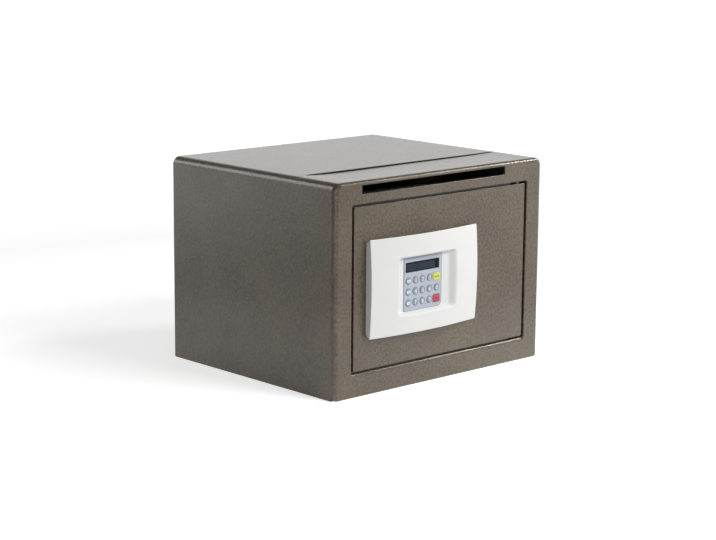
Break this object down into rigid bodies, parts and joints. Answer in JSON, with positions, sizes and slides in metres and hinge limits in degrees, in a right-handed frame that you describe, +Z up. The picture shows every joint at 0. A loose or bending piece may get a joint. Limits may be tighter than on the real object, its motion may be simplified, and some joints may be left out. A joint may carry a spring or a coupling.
{
  "type": "furniture safe",
  "caption": "Steel furniture safe with a deposit slot above the door, concealed hinges, an electronic keypad lock and motor-driven bolts.",
  "frame": {"origin": "centre of the underside of the cabinet", "axes": "+X to the right seen from the front, +Y to the back, +Z up; the door's face looks to -Y"},
  "size_m": [0.35, 0.3165, 0.255],
  "materials": {
    "cabinet_paint": "hammered taupe powder coat",
    "door_paint": "hammered taupe powder coat",
    "inner_paint": "taupe powder coat",
    "chute_paint": "black powder coat",
    "zinc_plate": "bright zinc plate",
    "bolt_steel": "nickel plated steel",
    "brass": "turned brass",
    "mat_felt": "needle felt",
    "white_plastic": "satin white ABS",
    "pad_plastic": "matt blue-grey film",
    "window": "dark acrylic",
    "key_blue": "matt silicone",
    "key_yellow": "matt silicone",
    "key_red": "matt silicone",
    "circuit": "green solder mask",
    "black_plastic": "black ABS",
    "grey_plastic": "grey ABS",
    "cell_wrap": "printed film, bare of text"
  },
  "bodies": {
    "cabinet": {"casing_wrap": "cabinet_paint", "base_panel": "cabinet_paint", "back_panel": "cabinet_paint", "front_frame": "cabinet_paint", "door_stop_upper": "inner_paint", "door_stop_lower": "inner_paint", "hinge_bush_upper": "brass", "hinge_bush_lower": "brass", "deposit_chute": "chute_paint", "anti_fishing_comb": "zinc_plate", "floor_mat": "mat_felt"},
    "door": {"door_plate": "door_paint", "door_tray": "inner_paint", "door_inner_cover": "inner_paint", "cover_screw_1": "zinc_plate", "cover_screw_2": "zinc_plate", "cover_screw_3": "zinc_plate", "cover_screw_4": "zinc_plate", "hinge_block_upper": "zinc_plate", "hinge_block_lower": "zinc_plate", "hinge_pin_upper": "bolt_steel", "hinge_pin_lower": "bolt_steel", "guide_stud_upper": "zinc_plate", "guide_stud_lower": "zinc_plate", "gearbox": "grey_plastic", "bolt_motor": "bolt_steel", "motor_bracket": "zinc_plate", "control_board": "circuit", "battery_box": "black_plastic", "battery_cell_1": "cell_wrap", "battery_cell_2": "cell_wrap", "battery_cell_3": "cell_wrap", "battery_cell_4": "cell_wrap", "lock_base_plate": "grey_plastic", "lock_cover": "white_plastic", "keypad_pad": "pad_plastic", "display_window": "window", "keypad_board": "circuit", "lock_cable": "grey_plastic"},
    "battery_lid": {"battery_lid": "black_plastic"},
    "bolt_work": {"bolt_carriage": "zinc_plate", "bolt_upper": "bolt_steel", "bolt_lower": "bolt_steel", "bolt_rack": "bolt_steel"},
    "drive": {"drive_pinion": "brass"},
    "key_upper": {"key_upper": "key_blue"},
    "key_1": {"key_1": "key_blue"},
    "key_2": {"key_2": "key_blue"},
    "key_3": {"key_3": "key_blue"},
    "key_enter": {"key_enter": "key_yellow"},
    "key_middle": {"key_middle": "key_blue"},
    "key_4": {"key_4": "key_blue"},
    "key_5": {"key_5": "key_blue"},
    "key_6": {"key_6": "key_blue"},
    "key_0": {"key_0": "key_blue"},
    "key_lower": {"key_lower": "key_blue"},
    "key_7": {"key_7": "key_blue"},
    "key_8": {"key_8": "key_blue"},
    "key_9": {"key_9": "key_blue"},
    "key_clear": {"key_clear": "key_red"}
  },
  "joints": [
    {"name": "door_hinge", "type": "hinge", "parent": "cabinet", "child": "door", "pos_m": [0.1375, -0.1425, 0], "axis": [0, 0, 1], "range_deg": [0, 100]},
    {"name": "bolt_throw", "type": "slide", "parent": "door", "child": "bolt_work", "axis": [-1, 0, 0], "range_m": [0, 0.016]},
    {"name": "pinion_spin", "type": "hinge", "parent": "door", "child": "drive", "pos_m": [-0.072, -0.1375, 0.1333], "axis": [0, 1, 0], "range_deg": [0, 102]},
    {"name": "battery_lid_slide", "type": "slide", "parent": "door", "child": "battery_lid", "axis": [-1, 0, 0], "range_m": [0, 0.06]},
    {"name": "key_upper_press", "type": "slide", "parent": "door", "child": "key_upper", "axis": [0, 1, 0], "range_m": [0, 0.0008], "stiffness_N_per_m": 200},
    {"name": "key_1_press", "type": "slide", "parent": "door", "child": "key_1", "axis": [0, 1, 0], "range_m": [0, 0.0008], "stiffness_N_per_m": 200},
    {"name": "key_2_press", "type": "slide", "parent": "door", "child": "key_2", "axis": [0, 1, 0], "range_m": [0, 0.0008], "stiffness_N_per_m": 200},
    {"name": "key_3_press", "type": "slide", "parent": "door", "child": "key_3", "axis": [0, 1, 0], "range_m": [0, 0.0008], "stiffness_N_per_m": 200},
    {"name": "key_enter_press", "type": "slide", "parent": "door", "child": "key_enter", "axis": [0, 1, 0], "range_m": [0, 0.0008], "stiffness_N_per_m": 200},
    {"name": "key_middle_press", "type": "slide", "parent": "door", "child": "key_middle", "axis": [0, 1, 0], "range_m": [0, 0.0008], "stiffness_N_per_m": 200},
    {"name": "key_4_press", "type": "slide", "parent": "door", "child": "key_4", "axis": [0, 1, 0], "range_m": [0, 0.0008], "stiffness_N_per_m": 200},
    {"name": "key_5_press", "type": "slide", "parent": "door", "child": "key_5", "axis": [0, 1, 0], "range_m": [0, 0.0008], "stiffness_N_per_m": 200},
    {"name": "key_6_press", "type": "slide", "parent": "door", "child": "key_6", "axis": [0, 1, 0], "range_m": [0, 0.0008], "stiffness_N_per_m": 200},
    {"name": "key_0_press", "type": "slide", "parent": "door", "child": "key_0", "axis": [0, 1, 0], "range_m": [0, 0.0008], "stiffness_N_per_m": 200},
    {"name": "key_lower_press", "type": "slide", "parent": "door", "child": "key_lower", "axis": [0, 1, 0], "range_m": [0, 0.0008], "stiffness_N_per_m": 200},
    {"name": "key_7_press", "type": "slide", "parent": "door", "child": "key_7", "axis": [0, 1, 0], "range_m": [0, 0.0008], "stiffness_N_per_m": 200},
    {"name": "key_8_press", "type": "slide", "parent": "door", "child": "key_8", "axis": [0, 1, 0], "range_m": [0, 0.0008], "stiffness_N_per_m": 200},
    {"name": "key_9_press", "type": "slide", "parent": "door", "child": "key_9", "axis": [0, 1, 0], "range_m": [0, 0.0008], "stiffness_N_per_m": 200},
    {"name": "key_clear_press", "type": "slide", "parent": "door", "child": "key_clear", "axis": [0, 1, 0], "range_m": [0, 0.0008], "stiffness_N_per_m": 200}
  ],
  "couplings": [
    {"joint": "pinion_spin", "follows": "bolt_throw", "rad_per_m": 111.11}
  ]
}
